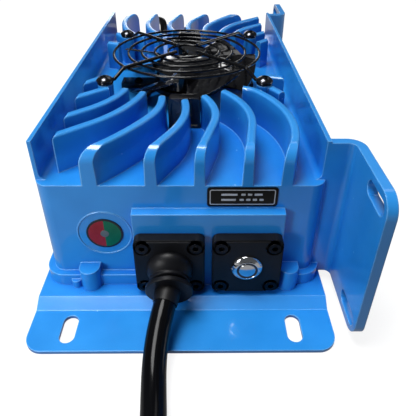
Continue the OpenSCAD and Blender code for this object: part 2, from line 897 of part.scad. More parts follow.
module fan_guard() {
    corner = post_x * sqrt(2);
    foot_in = corner - guard_head_r - 1.2;
    color(black) {
        for (r = ring_radii) translate([0, 0, ring_z]) rotate_extrude($fn = 72) {
            translate([r, 0]) circle(d = ring_d, $fn = 16);
        }
        for (a = [45:90:315]) rotate([0, 0, a]) {
            rod([arm_inner_r, 0, arm_z], [arm_bend_r, 0, arm_z], arm_d / 2);
            translate([arm_bend_r, 0, arm_z]) sphere(d = knee_d, $fn = 24);
            rod([arm_bend_r, 0, arm_z], [foot_in, 0, loop_z], arm_d / 2);
            translate([foot_in, 0, loop_z]) sphere(d = knee_d, $fn = 24);
            rod([foot_in, 0, loop_z], [corner - loop_r, 0, loop_z], arm_d / 2);
            translate([corner, 0, loop_z]) rotate_extrude($fn = 32) {
                translate([loop_r, 0]) circle(d = arm_d, $fn = 24);
            }
        }
    }
}

module guard_screws() {
    color([0.2, 0.2, 0.22]) at_posts() translate([0, 0, post_z + arm_d]) {
        pan_screw(guard_screw_r, guard_head_r, guard_head_h, guard_screw_l - screw_end_gap);
    }
}

// Connector plates
module conn_plate(middle_r) {
    top_w = conn_w - 2 * conn_step;
    difference() {
        union() {
            linear_extrude(conn_t - conn_step_h) rounded_outline(conn_w, conn_w, conn_r);
            linear_extrude(conn_t) rounded_outline(top_w, top_w, conn_r - conn_step);
        }
        at_conn_screws() {
            translate([0, 0, conn_t - conn_recess_h]) cylinder(r = conn_recess_r, h = conn_t);
            translate([0, 0, -over]) cylinder(r = m3_r + screw_gap, h = conn_t + 2 * over);
        }
        translate([0, 0, -over]) cylinder(r = middle_r, h = conn_t + 2 * over);
    }
}

module conn_gasket(middle_r) {
    difference() {
        linear_extrude(gasket_t) rounded_outline(conn_w - conn_step, conn_w - conn_step, conn_r);
        translate([0, 0, -over]) {
            at_conn_screws() cylinder(r = m3_r + screw_gap, h = gasket_t + 2 * over);
            cylinder(r = middle_r, h = gasket_t + 2 * over);
        }
    }
}

module conn_screws() {
    at_conn_screws() translate([0, 0, conn_t - conn_recess_h]) {
        socket_screw(m3_r, m3_head_r, m3_head_h, m3_l);
    }
}

// Domed gland with a leaning neck, a groove and a round collar
module gland(cable_r, scale_r) {
    bell_r = dome_r * scale_r;
    bell_ball = (bell_r * bell_r + dome_h * dome_h) / (2 * dome_h);
    difference() {
        union() {
            translate([0, conn_z - gland_z, 0]) intersection() {
                cylinder(r = bell_r, h = dome_h);
                translate([0, 0, dome_h - bell_ball]) sphere(bell_ball);
            }
            rotate([gland_lean, 0, 0]) {
                cylinder(r = neck_r * scale_r, h = neck_l);
                cylinder(r = neck_r * scale_r + 1, h = neck_l - neck_step);
                translate([0, 0, neck_l - 1]) cylinder(r = collar_r * scale_r, h = collar_t);
            }
        }
        translate([-dome_r, -dome_r * 2, -dome_r]) cube([2 * dome_r, 4 * dome_r, dome_r]);
        rotate([gland_lean, 0, 0]) translate([0, 0, -dome_r]) cylinder(r = cable_r, h = 3 * dome_r);
    }
}

module output_gasket() {
    color(black) on_front(out_x, pad_face_y, conn_z) conn_gasket(out_cable_d / 2 + cable_gap);
}

module output_plate() {
    color(black) on_front(out_x, plate_back_y, conn_z) conn_plate(out_cable_d / 2 + cable_gap);
}

module output_gland() {
    color(black) on_front(out_x, plate_face_y, gland_z) gland(out_cable_d / 2 - cable_grip, 1);
}

module output_screws() {
    color(steel) on_front(out_x, plate_back_y, conn_z) conn_screws();
}

module signal_gasket() {
    color(black) on_front(sig_x, pad_face_y, conn_z) conn_gasket(button_d / 2 + screw_gap);
}

module signal_plate() {
    color(black) on_front(sig_x, plate_back_y, conn_z) conn_plate(button_d / 2 + screw_gap);
}

module signal_screws() {
    color(steel) on_front(sig_x, plate_back_y, conn_z) conn_screws();
}

// The same plate, gasket, gland and screws at the back
module on_back(y, z) {
    rotate([0, 0, 180]) on_front(in_x, y, z) children();
}

module input_gasket() {
    color(black) on_back(pad_face_y, conn_z) conn_gasket(in_cable_d / 2 + cable_gap);
}

module input_plate() {
    color(black) on_back(plate_back_y, conn_z) conn_plate(in_cable_d / 2 + cable_gap);
}

module input_gland() {
    color(black) on_back(plate_face_y, gland_z) gland(in_cable_d / 2 - cable_grip, in_scale);
}

module input_screws() {
    color(steel) on_back(plate_back_y, conn_z) conn_screws();
}

// Push-button
module at_button() {
    on_front(sig_x, plate_face_y, conn_z) children();
}

module button_bezel() {
    color(steel) at_button() difference() {
        union() {
            translate([0, 0, -button_len]) cylinder(d = button_d, h = button_len + eps);
            rotate_extrude() polygon([[0, 0], [bezel_r, 0], [bezel_r, bezel_h - bezel_edge],
                [bezel_r - bezel_edge, bezel_h], [0, bezel_h]]);
        }
        translate([0, 0, bezel_h - lit_ring_sink]) cylinder(r = lit_ring_r, h = 2 * lit_ring_sink);
        translate([0, 0, -button_len + button_end_t]) {
            cylinder(d = cap_d + 2 * run_gap, h = button_len + bezel_h);
        }
    }
}

module button_ring() {
    color([0.85, 0.9, 0.95]) at_button() translate([0, 0, bezel_h - lit_ring_sink]) difference() {
        cylinder(r = lit_ring_r, h = lit_ring_h);
        translate([0, 0, -over]) cylinder(d = cap_d + 2 * run_gap, h = lit_ring_h + 2 * over);
    }
}

module button_cap() {
    color(steel) at_button() translate([0, 0, bezel_h + cap_out - cap_len]) {
        cylinder(d = cap_d, h = cap_len);
    }
}

module button_spring() {
    low = -button_len + button_end_t;
    top = bezel_h + cap_out - cap_len - cap_travel - lay_gap;
    outer_r = cap_d / 2 - spring_gap;
    color(steel) at_button() translate([0, 0, low]) difference() {
        cylinder(r = outer_r, h = top - low);
        translate([0, 0, -over]) cylinder(r = outer_r - spring_wall, h = top - low + 2 * over);
    }
}

module button_nut() {
    color(steel) on_front(sig_x, front_y + shell_t + nut_h, conn_z) difference() {
        cylinder(d = nut_across, h = nut_h, $fn = 6);
        translate([0, 0, -over]) cylinder(d = button_d, h = nut_h + 2 * over);
    }
}

// Charge indicator and label
module indicator_ring() {
    color(black) on_front(lamp_x, front_y, lamp_z) linear_extrude(film_t) difference() {
        circle(d = lamp_d);
        circle(d = lamp_d - 2 * lamp_rim);
    }
}

module indicator_half(side) {
    on_front(lamp_x, front_y, lamp_z) linear_extrude(film_t) difference() {
        intersection() {
            circle(d = lamp_d - 2 * lamp_rim);
            translate([side > 0 ? 0 : -lamp_d, -lamp_d / 2]) square(lamp_d);
        }
        circle(led_r);
    }
}

module indicator_red() {
    color([0.55, 0.16, 0.2]) indicator_half(-1);
}

module indicator_green() {
    color([0.04, 0.37, 0.29]) indicator_half(1);
}

module indicator_lamp() {
    color([0.5, 0.52, 0.55]) on_front(lamp_x, front_y + shell_t, lamp_z) {
        cylinder(r = led_r, h = shell_t + film_t);
        translate([0, 0, -led_flange]) cylinder(r = led_r + led_flange, h = led_flange);
    }
}

module setting_label() {
    color(black) on_front(label_x, front_y, label_z) linear_extrude(film_t) {
        rounded_outline(label_w, label_h, label_r);
    }
}

// Leads
module coil(centre, r, wires, wire_d) {
    band = wires * wire_d;
    translate([centre[0], centre[1], 0]) rotate_extrude($fn = 60) translate([r - band / 2, 0]) {
        square([band, 2 * wire_d]);
    }
}

module output_cable() {
    color(black) {
        swept_lead(OUT_ROUTE, out_cable_d / 2, 12);
        swept_lead(OUT_TAIL, out_cable_d / 2, 12);
    }
}

module output_coil() {
    color(black) coil(out_coil_c, out_coil_r, out_coil_wires, out_cable_d);
}

module input_cable() {
    color(black) {
        swept_lead(IN_ROUTE, in_cable_d / 2, 10);
        swept_lead(IN_TAIL, in_cable_d / 2, 10);
    }
}

module input_coil() {
    color(black) coil(in_coil_c, in_coil_r, in_coil_wires, in_cable_d);
}

// Two-pole battery connector that ends the output lead
module at_connector() {
    translate([-8, -296, 0]) rotate([0, 0, 180]) children();
}

module output_connector() {
    color([0.2, 0.2, 0.22]) at_connector() difference() {
        union() {
            translate([-plug_w / 2, plug_lip, 0]) cube([plug_w, plug_l - plug_lip, plug_h]);
            translate([-plug_w / 2 + plug_lip_in, 0, plug_lip_cut]) {
                cube([plug_w - 2 * plug_lip_in, plug_lip + eps, plug_h - 2 * plug_lip_cut]);
            }
        }
        for (x = [-1, 1]) translate([x * pole_gap / 2, plug_l - mouth_l, plug_h / 2]) {
            rotate([-90, 0, 0]) cylinder(r = mouth_r, h = mouth_l + over);
        }
    }
}

module output_contacts() {
    color([0.75, 0.6, 0.3]) at_connector() for (x = [-1, 1]) {
        translate([x * pole_gap / 2, plug_l - mouth_l, plug_h / 2]) rotate([-90, 0, 0]) {
            cylinder(r = contact_r, h = contact_l);
        }
    }
}

// Two-pin mains plug that ends the input lead
module at_plug() {
    translate([40, 206, 0]) rotate([0, 0, 180]) children();
}

module input_plug() {
    color(black) at_plug() {
        translate([-mains_neck_w / 2, 0, mains_h / 2 - mains_neck_h / 2]) {
            cube([mains_neck_w, mains_neck_l + eps, mains_neck_h]);
        }
        translate([-mains_w / 2, mains_neck_l, 0]) cube([mains_w, mains_l, mains_h]);
    }
}

module plug_blades() {
    color(steel) at_plug() for (x = [-1, 1]) {
        translate([x * blade_gap / 2 - blade_t / 2, mains_neck_l + mains_l, (mains_h - blade_w) / 2]) {
            cube([blade_t, blade_l, blade_w]);
        }
    }
}

// Inside
module circuit_board() {
    color([0.1, 0.35, 0.2]) translate([0, 0, board_z]) difference() {
        translate([-board_w / 2, -board_l / 2, 0]) cube([board_w, board_l, board_t]);
        at_board_screws() translate([0, 0, -over]) cylinder(r = m3_r + screw_gap, h = board_t + 2 * over);
    }
}

module board_screws() {
    color(steel) at_board_screws() translate([0, 0, board_z]) rotate([180, 0, 0]) {
        pan_screw(m3_r, pan_head_r, pan_head_h, pan_l);
    }
}

module transformer_core() {
    color([0.25, 0.25, 0.27]) translate([0, 0, board_top + core_h / 2]) difference() {
        cube([core_w, core_l, core_h], center = true);
        for (s = [-1, 1]) translate([s * (core_w / 2 - core_limb - core_window_w / 2), 0, 0]) {
            cube([core_window_w, core_l + 2 * over, core_h - 2 * core_yoke], center = true);
        }
    }
}

module transformer_winding() {
    hole_w = core_w - 2 * core_limb - 2 * core_window_w + lay_gap;
    color([0.8, 0.65, 0.3]) translate([0, 0, board_top + core_h / 2]) difference() {
        cube([winding_w, winding_l, winding_h], center = true);
        cube([hole_w, core_l + lay_gap, winding_h + over], center = true);
    }
}

module smoothing_capacitors() {
    color([0.15, 0.2, 0.35]) for (k = [-1:1]) {
        translate([k * capacitor_pitch, capacitor_y, board_top]) {
            cylinder(r = capacitor_r, h = capacitor_h);
        }
    }
}

module output_choke() {
    color([0.3, 0.5, 0.35]) translate([0, choke_y, board_top]) difference() {
        cylinder(r = choke_r, h = choke_h);
        translate([0, 0, -over]) cylinder(r = choke_hole_r, h = choke_h + 2 * over);
    }
}

housing();
base_plate();
base_screws();
fan_base();
fan_base_screws();
fan_stator();
fan_bearings();
fan_shaft();
impeller();
fan_lead();
lead_grommet();
fan_guard();
guard_screws();
output_gasket();
output_plate();
output_gland();
output_screws();
output_cable();
output_coil();
output_connector();
output_contacts();
signal_gasket();
signal_plate();
signal_screws();
button_bezel();
button_ring();
button_cap();
button_spring();
button_nut();
indicator_ring();
indicator_red();
indicator_green();
indicator_lamp();
setting_label();
input_gasket();
input_plate();
input_gland();
input_screws();
input_cable();
input_coil();
input_plug();
plug_blades();
circuit_board();
board_screws();
transformer_core();
transformer_winding();
smoothing_capacitors();
output_choke();
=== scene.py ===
import json
import math

import bmesh
import bpy
from mathutils import Matrix, Vector


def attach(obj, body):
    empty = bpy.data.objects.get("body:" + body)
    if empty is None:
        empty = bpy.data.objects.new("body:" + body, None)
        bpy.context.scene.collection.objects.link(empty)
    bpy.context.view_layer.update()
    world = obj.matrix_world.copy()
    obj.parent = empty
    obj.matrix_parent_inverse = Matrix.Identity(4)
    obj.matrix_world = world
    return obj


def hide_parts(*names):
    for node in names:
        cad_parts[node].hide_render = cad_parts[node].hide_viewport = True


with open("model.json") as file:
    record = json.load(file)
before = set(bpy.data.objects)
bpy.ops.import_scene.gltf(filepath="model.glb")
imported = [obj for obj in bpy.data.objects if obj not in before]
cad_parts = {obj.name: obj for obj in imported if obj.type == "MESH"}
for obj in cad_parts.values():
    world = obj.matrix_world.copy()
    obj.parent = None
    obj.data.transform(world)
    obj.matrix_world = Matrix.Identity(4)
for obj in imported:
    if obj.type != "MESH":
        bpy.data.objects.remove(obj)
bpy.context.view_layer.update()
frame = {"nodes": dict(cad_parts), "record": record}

MM = 0.001
NODES = frame["nodes"]

# Camera of the photograph: place, sensor and lens in millimetres; heading, dip and tilt in degrees
CAMERA_PLACE = (8.9, -258.8, 166.3)
CAMERA_YAW, CAMERA_PITCH, CAMERA_ROLL = 0.91, 32.9, 0.51
CAMERA_SENSOR = 36
CAMERA_LENS = 38.446
CAMERA_SHIFT = -0.098
# Nothing nearer than this is drawn, in metres
CAMERA_NEAR = 0.01


def linked(name, data):
    """A new object of the scene that holds this data."""
    made = bpy.data.objects.new(name, data)
    bpy.context.scene.collection.objects.link(made)
    return made


def aim_camera():
    yaw, pitch, roll = (math.radians(a) for a in (CAMERA_YAW, CAMERA_PITCH, CAMERA_ROLL))
    ahead = Vector((math.sin(yaw) * math.cos(pitch), math.cos(yaw) * math.cos(pitch), -math.sin(pitch)))
    level = Vector((math.cos(yaw), -math.sin(yaw), 0))
    upward = level.cross(ahead)
    right = level * math.cos(roll) + upward * math.sin(roll)
    up = upward * math.cos(roll) - level * math.sin(roll)
    data = bpy.data.cameras.new("photo_camera")
    data.sensor_width = CAMERA_SENSOR
    data.lens = CAMERA_LENS
    data.shift_y = CAMERA_SHIFT
    data.clip_start = CAMERA_NEAR
    camera = linked("photo_camera", data)
    turn = Matrix((right, up, -ahead)).transposed().to_4x4()
    camera.matrix_world = Matrix.Translation(Vector(CAMERA_PLACE) * MM) @ turn
    bpy.context.scene.camera = camera


aim_camera()

# Leads, in millimetres, on the routes of the part's source: from the gland to the coil, the coil's
# middle, and from the coil to the connector or plug. Their lengths are in metres.
OUT_D = 9.8
OUT_ROUTE = [(-5.4, -121.6, 17.4), (-5.8, -125.6, 16.5), (-6.6, -130, 15.4), (-7.7, -135.5, 13.6),
             (-8.9, -142, 11), (-9.6, -149, 8.5), (-9.7, -156.5, 6.5), (-9.2, -165, 5.3),
             (-8.5, -174, 5.1), (-8.1, -183, 5.8), (-8, -192, 7.4), (-8, -201, 9.8), (-8, -210, 12.4),
             (-8, -219, 14.3), (-8, -228, 14.7)]
OUT_COIL = (46, -245)
OUT_TAIL = [(-8, -262, 4.9), (-8, -272, 5), (-8, -281, 5.4), (-8, -289, 6.5), (-8, -295, 7.5),
            (-8, -300, 7.8)]
IN_D = 7
IN_ROUTE = [(-22, 122, 17.1), (-22, 129, 16.2), (-22.4, 136.5, 17), (-23.6, 145, 20.6),
            (-25.5, 154.5, 25.6), (-27.5, 165, 31), (-28.6, 175.5, 36.2), (-29, 185.5, 40.7),
            (-30, 195, 43.9), (-32.6, 204, 45.2), (-36.4, 212.4, 43.7), (-40.3, 220, 39.5),
            (-43.6, 226.6, 33.4), (-46, 232, 26.4), (-47.4, 237.2, 19.2), (-48, 243.4, 13.4),
            (-48, 250, 10.8)]
IN_COIL = (-4, 250)
IN_TAIL = [(40, 237, 3.6), (40, 227, 3.9), (40, 219, 5), (40, 212, 6.6), (40, 206, 7.7), (40, 201, 8)]

# Coils: both start on the left of their middle. Marks are (degrees turned, radius or height); the turns
# of a coil lie beside each other and in two layers, a diameter apart.
COIL_START = 180
COIL_STEP = 20
OUT_SWEEP = 1080
OUT_RADII = [(0, 53.9), (240, 53.9), (340, 44.1), (720, 44.1), (820, 53.9), (1080, 53.9)]
OUT_HEIGHTS = [(0, 14.7), (450, 14.7), (500, 4.9), (1080, 4.9)]
IN_SWEEP = 1980
IN_RADII = [(0, 44), (270, 44), (350, 37), (630, 37), (710, 30), (1330, 30), (1410, 37), (1680, 37),
            (1760, 44), (1980, 44)]
IN_HEIGHTS = [(0, 10.6), (30, 10.5), (990, 10.5), (1040, 3.5), (1980, 3.5)]


def eased(x, marks):
    """The value at x of a table of (x, value) marks, with soft steps between them."""
    for (x0, v0), (x1, v1) in zip(marks, marks[1:]):
        if x <= x1:
            t = max(0, (x - x0) / (x1 - x0))
            return v0 + (v1 - v0) * t * t * (3 - 2 * t)
    return marks[-1][1]


def winding(centre, sweep, way, radii, heights):
    """Points of a wound lead: its radius and height follow how far it has turned."""
    points = []
    for turned in range(COIL_STEP, sweep, COIL_STEP):
        angle = math.radians(COIL_START + way * turned)
        radius = eased(turned, radii)
        points.append((centre[0] + radius * math.cos(angle), centre[1] + radius * math.sin(angle),
                       eased(turned, heights)))
    return points


def centre_line(name, points, diameter=1.0):
    """A smooth open curve through the points; its points carry the lead's radius."""
    data = bpy.data.curves.new(name, "CURVE")
    data.dimensions = "3D"
    data.resolution_u = 6
    spline = data.splines.new("BEZIER")
    spline.bezier_points.add(len(points) - 1)
    for knot, point in zip(spline.bezier_points, points):
        knot.co = Vector(point) * MM
        knot.radius = diameter / 2 * MM
        knot.handle_left_type = knot.handle_right_type = "AUTO"
    return data


def lead(name, points, diameter):
    """A smooth round lead through the points."""
    data = centre_line(name, points, diameter)
    data.bevel_depth = 1
    data.bevel_resolution = 6
    data.use_fill_caps = True
    return linked(name, data)


output_lead = lead("output_lead", OUT_ROUTE + winding(OUT_COIL, OUT_SWEEP, 1, OUT_RADII, OUT_HEIGHTS)
                   + OUT_TAIL, OUT_D)
input_lead = lead("input_lead", IN_ROUTE + winding(IN_COIL, IN_SWEEP, -1, IN_RADII, IN_HEIGHTS)
                  + IN_TAIL, IN_D)


# Materials
def linear(code):
    """A six-digit sRGB colour as linear RGBA."""
    parts = [int(code[i:i + 2], 16) / 255 for i in (1, 3, 5)]
    return [c / 12.92 if c <= 0.04045 else ((c + 0.055) / 1.055) ** 2.4 for c in parts] + [1]


def add(tree, kind, inputs=None, marks=(), **settings):
    """Adds a node with its settings and links. An input is a value or another node's socket, and the
    marks of a colour ramp are (position, colour)."""
    node = tree.nodes.new(kind)
    for name, value in settings.items():
        setattr(node, name, value)
    for k, (position, code) in enumerate(marks):
        node.color_ramp.elements[k].position = position
        node.color_ramp.elements[k].color = linear(code)
    for socket, value in (inputs or {}).items():
        if isinstance(value, bpy.types.NodeSocket):
            tree.links.new(value, node.inputs[socket])
        else:
            node.inputs[socket].default_value = value
    return node


def begin(name, **sockets):
    """An empty material with its shader, whose even values sit on its own sockets."""
    material = bpy.data.materials.new(name)
    material.use_nodes = True
    tree = material.node_tree
    tree.nodes.clear()
    shader = add(tree, "ShaderNodeBsdfPrincipled", {k.replace("_", " "): v for k, v in sockets.items()})
    add(tree, "ShaderNodeOutputMaterial", {"Surface": shader.outputs["BSDF"]})
    coordinates = add(tree, "ShaderNodeTexCoord").outputs
    return material, tree, shader, coordinates


def per_mm(size):
    """Texture scale that gives features of this size in millimetres."""
    return 1 / (size * MM)


def powder_coated_casting():
    # Polyester powder on a die casting: even bright gloss over orange peel, a pale painted highlight
    # along the edges, painted shade deepening the colour in hollows, and a few dust nibs caught in the
    # film. The peel is a millimetre wide on the real one and is drawn at 2.6 mm, so that it shows.
    material, tree, shader, coordinates = begin("powder_coated_die_casting", Roughness=0.28,
                                                Coat_Weight=0.55, Coat_Roughness=0.04)
    where = coordinates["Object"]
    clouds = add(tree, "ShaderNodeTexNoise", {"Vector": where, "Scale": per_mm(22), "Detail": 3})
    film = add(tree, "ShaderNodeValToRGB", {"Fac": clouds.outputs["Fac"]},
               marks=[(0.3, "#1F83D2"), (0.7, "#298EDE")])
    # Painted shade: the colour turns deeper blue where ambient occlusion finds hollows and channels
    shade_occlusion = add(tree, "ShaderNodeAmbientOcclusion", {"Distance": 14 * MM}, samples=4)
    painted_shade = add(tree, "ShaderNodeValToRGB", {"Fac": shade_occlusion.outputs["AO"]},
                 marks=[(0.15, "#FFFFFF"), (0.75, "#000000")])
    rounding = add(tree, "ShaderNodeBevel", {"Radius": 0.7 * MM}, samples=4)
    flat = add(tree, "ShaderNodeNewGeometry")
    # Painted highlight: a paler blue along the edges, where the bevelled normal turns away from the flat one
    turned = add(tree, "ShaderNodeVectorMath",
                 {0: rounding.outputs["Normal"], 1: flat.outputs["Normal"]}, operation="DOT_PRODUCT")
    painted_edge_highlight = add(tree, "ShaderNodeValToRGB", {"Fac": turned.outputs["Value"]},
               marks=[(0.9, "#FFFFFF"), (0.99, "#000000")])
    nibs = add(tree, "ShaderNodeTexVoronoi", {"Vector": where, "Scale": per_mm(13)})
    spots = add(tree, "ShaderNodeValToRGB", {"Fac": nibs.outputs["Distance"]},
                marks=[(0.02, "#FFFFFF"), (0.03, "#000000")])
    colour = film.outputs["Color"]
    # Mixed in turn over the clouded film: the painted shade, the painted edge highlight and the dust nibs
    for share, code in ((painted_shade, "#045AC2"), (painted_edge_highlight, "#74BCF8"), (spots, "#8FC6F2")):
        mixed = add(tree, "ShaderNodeMix", {0: share.outputs["Color"], 6: colour, 7: linear(code)},
                    data_type="RGBA")
        colour = mixed.outputs[2]
    tree.links.new(colour, shader.inputs["Base Color"])
    peel = add(tree, "ShaderNodeTexNoise", {"Vector": where, "Scale": per_mm(2.6), "Detail": 1})
    bump = add(tree, "ShaderNodeBump", {"Height": peel.outputs["Fac"], "Distance": 0.06 * MM,
                                        "Normal": rounding.outputs["Normal"], "Strength": 0.5})
    tree.links.new(bump.outputs["Normal"], shader.inputs["Normal"])
    return material


def drawn_jacket():
    # Extruded soft PVC: black and shiny, with fine draw marks along the lead and slow waves across it.
    # The lead's length runs along U: marks are about 60 mm long and 0.5 mm wide, waves 25 mm long.
    material, tree, shader, coordinates = begin("extruded_pvc_jacket", Roughness=0.13,
                                                Specular_IOR_Level=0.11)
    strip = coordinates["UV"]
    drawn = add(tree, "ShaderNodeMapping", {"Vector": strip, "Scale": (18, 60, 1)})
    marks = add(tree, "ShaderNodeTexNoise", {"Vector": drawn.outputs["Vector"], "Scale": 1, "Detail": 2})
    colour = add(tree, "ShaderNodeValToRGB", {"Fac": marks.outputs["Fac"]},
                 marks=[(0.35, "#060608"), (0.65, "#0B0C0E")])
    tree.links.new(colour.outputs["Color"], shader.inputs["Base Color"])
    slow = add(tree, "ShaderNodeMapping", {"Vector": strip, "Scale": (45, 3, 1)})
    waves = add(tree, "ShaderNodeTexNoise", {"Vector": slow.outputs["Vector"], "Scale": 1, "Detail": 1})
    coarse = add(tree, "ShaderNodeBump", {"Height": waves.outputs["Fac"], "Distance": 0.3 * MM,
                                          "Strength": 0.4})
    bump = add(tree, "ShaderNodeBump", {"Height": marks.outputs["Fac"], "Distance": 0.02 * MM,
                                        "Strength": 0.4, "Normal": coarse.outputs["Normal"]})
    tree.links.new(bump.outputs["Normal"], shader.inputs["Normal"])
    return material


# Size of the soft clouds of colour in every grained finish, in millimetres
CLOUD_SIZE = 8


def grained(name, low, high, grain, depth, bevel=0.0, **sockets):
    """A finish with clouded colour between two shades and a fine grain; sizes are in millimetres."""
    material, tree, shader, coordinates = begin(name, **sockets)
    where = coordinates["Object"]
    clouds = add(tree, "ShaderNodeTexNoise", {"Vector": where, "Scale": per_mm(CLOUD_SIZE), "Detail": 4})
    tone = add(tree, "ShaderNodeValToRGB", {"Fac": clouds.outputs["Fac"]},
               marks=[(0.35, low), (0.65, high)])
    tree.links.new(tone.outputs["Color"], shader.inputs["Base Color"])
    fine = add(tree, "ShaderNodeTexNoise", {"Vector": where, "Scale": per_mm(grain), "Detail": 2})
    bump = add(tree, "ShaderNodeBump", {"Height": fine.outputs["Fac"], "Distance": depth * MM,
                                        "Strength": 0.5})
    if bevel:
        rounding = add(tree, "ShaderNodeBevel", {"Radius": bevel * MM}, samples=4)
        tree.links.new(rounding.outputs["Normal"], bump.inputs["Normal"])
    tree.links.new(bump.outputs["Normal"], shader.inputs["Normal"])
    return material


# One finish for each material slot of the record, and two more for pieces made here. Grains of 0.3 to
# 0.6 mm stand for finer ones on the real surfaces, and are drawn this coarse so that they show.
FINISHES = {
    "blue_powder_coat": powder_coated_casting(),
    # Bright zinc plating on a cold-headed screw: pale metal with a slightly blotched shine
    "zinc_steel": grained("zinc_plated_steel", "#B9BCC0", "#D6D9DC", grain=0.5, depth=0.01,
                          Metallic=1, Roughness=0.28),
    # Black nickel over steel: dark mirror, rough enough to break its reflections up
    "black_nickel_steel": grained("black_nickel_plated_steel", "#18191C", "#292A2E", grain=0.55, depth=0.3,
                                  bevel=0.3, Metallic=1, Roughness=0.12),
    # Injection-moulded PBT of a fan: glossy black that mirrors the lights
    "black_fan_plastic": grained("moulded_pbt_fan", "#08080A", "#101013", grain=0.8, depth=0.01, bevel=0.4,
                                 Roughness=0.12),
    # Enamelled copper wire seen as a mass: reddish shine
    "copper_winding": grained("enamelled_copper_wire", "#8A4A22", "#B5682F", grain=0.6, depth=0.1,
                              Metallic=0.9, Roughness=0.35),
    "black_cable": drawn_jacket(),
    # Moulded rubber: dull black with a dusty bloom
    "black_rubber": grained("moulded_epdm_rubber", "#101012", "#1A1A1C", grain=0.5, depth=0.02,
                            Roughness=0.7),
    # Epoxy dip coat on drawn wire: thick gloss with small runs
    "black_wire_coat": grained("epoxy_coated_wire", "#060607", "#0B0B0D", grain=2.0, depth=0.03,
                               Roughness=0.15, Specular_IOR_Level=0.4),
    # Glass-filled nylon, moulded in an etched tool: satin black with a fine grain
    "black_nylon": grained("moulded_glass_filled_nylon", "#0B0C0F", "#121317", grain=0.45, depth=0.03,
                           bevel=0.5, Roughness=0.4, Specular_IOR_Level=0.2),
    # Moulded polycarbonate shell of a battery connector: satin grey
    "grey_plug_plastic": grained("moulded_polycarbonate", "#3B3D42", "#46494E", grain=0.5, depth=0.02,
                                 bevel=0.4, Roughness=0.42),
    # Silver-plated copper contact: soft white metal with a warm tarnish
    "silvered_copper": grained("silver_plated_copper", "#B9B2A4", "#DAD6CC", grain=0.5, depth=0.01,
                               Metallic=1, Roughness=0.3),
    # Over-moulded PVC of a mains plug: soft satin black
    "black_plug_rubber": grained("overmoulded_soft_pvc", "#0A0A0C", "#121215", grain=0.5, depth=0.03,
                                 Roughness=0.45, Specular_IOR_Level=0.22),
    # Stamped brass blade: yellow metal with rub marks
    "brass_blades": grained("stamped_brass", "#A8823C", "#CFA95A", grain=0.6, depth=0.01, bevel=0.2,
                            Metallic=1, Roughness=0.3),
    # Turned and polished stainless steel: pale mirror with the faintest waves
    "stainless_steel": grained("turned_stainless_steel", "#BFC1C4", "#DDDEE0", grain=0.3, depth=0.006,
                               bevel=0.2, Metallic=1, Roughness=0.13),
    # Polycarbonate light guide of an unlit button: smoky dark, frosted at its face
    "clear_ring": grained("frosted_polycarbonate_ring", "#24262B", "#34373D", grain=0.4, depth=0.01,
                          Roughness=0.35),
    # Screen-printed ink under a clear film: flat colour behind a soft gloss
    "black_print": grained("printed_film_black", "#060607", "#0B0B0C", grain=0.8, depth=0.01,
                           Roughness=0.25),
    "red_print": grained("printed_film_red", "#7E1A26", "#8E2634", grain=0.9, depth=0.01,
                         Roughness=0.2, Specular_IOR_Level=0.2),
    "green_print": grained("printed_film_green", "#07563F", "#0B664C", grain=0.9, depth=0.01,
                           Roughness=0.2, Specular_IOR_Level=0.2),
    # Cast epoxy lens of a lamp, unlit: milky grey
    "led_lens": grained("cast_epoxy_lens", "#4C5559", "#5D686C", grain=0.6, depth=0.01, bevel=0.3,
                        Roughness=0.2),
    # Polyester label film: smooth gloss black
    "label_film": grained("polyester_label_film", "#050506", "#0A0A0B", grain=1.5, depth=0.01,
                          Roughness=0.18, Specular_IOR_Level=0.2),
    # Silver ink printed on the label: pale, flat and slightly grainy
    "silver_ink": grained("screen_printed_silver_ink", "#B4B9C0", "#C9CDD3", grain=0.3, depth=0.01,
                          Metallic=0.5, Roughness=0.4),
    # Hook-and-loop strap: black nylon pile without any shine
    "strap_nylon": grained("napped_nylon_strap", "#0E0E10", "#1C1C1F", grain=0.45, depth=0.25,
                           Roughness=0.95, Sheen_Weight=0.25),
    # Solder mask on glass-epoxy board: green with a weave below
    "green_board": grained("solder_mask_on_glass_epoxy", "#0B4A26", "#115C31", grain=0.6, depth=0.02,
                           Roughness=0.35),
    # Pressed and sintered ferrite: dull dark grey
    "ferrite": grained("sintered_ferrite", "#2A2A2D", "#38383B", grain=0.4, depth=0.03, Roughness=0.6),
    # Shrunk PVC sleeve of a capacitor: dark blue gloss
    "capacitor_sleeve": grained("shrunk_pvc_sleeve", "#141C3A", "#1B254A", grain=1.2, depth=0.02,
                                Roughness=0.25),
}

# Two nodes that look unlike the rest of their slot
OWN_FINISHES = {
    # Thin PVC wire, seen only through the blades: black, slightly dull
    "fan_lead": grained("extruded_pvc_wire", "#0C0C0E", "#16161A", grain=0.8, depth=0.02, Roughness=0.4),
    # Black chrome on pan heads: a dark mirror that catches small bright lights
    "guard_screws": grained("black_chromed_steel", "#3C3D41", "#58595E", grain=0.6, depth=0.03, bevel=0.3,
                            Metallic=1, Roughness=0.16),
}
SLOT_OF = {row["node"]: row["material_slot"] for row in frame["record"]["subparts"]}
for node_name, node in NODES.items():
    finish = OWN_FINISHES.get(node_name, FINISHES[SLOT_OF[node_name]])
    if not node.material_slots:
        node.data.materials.append(finish)
    for holder in node.material_slots:
        holder.material = finish


# Shapes from points; all their sizes are in millimetres
def full_turn(count):
    """The angles of this many even steps round a circle."""
    return [math.radians(360 / count * k) for k in range(count)]


def rounded(half_w, half_h, r, steps=5):
    """Points round a rectangle with round corners, about its middle."""
    points = []
    for k, (sx, sy) in enumerate(((1, 1), (-1, 1), (-1, -1), (1, -1))):
        for s in range(steps + 1):
            a = math.radians(90 * (k + s / steps))
            points.append((sx * (half_w - r) + r * math.cos(a), sy * (half_h - r) + r * math.sin(a)))
    return points


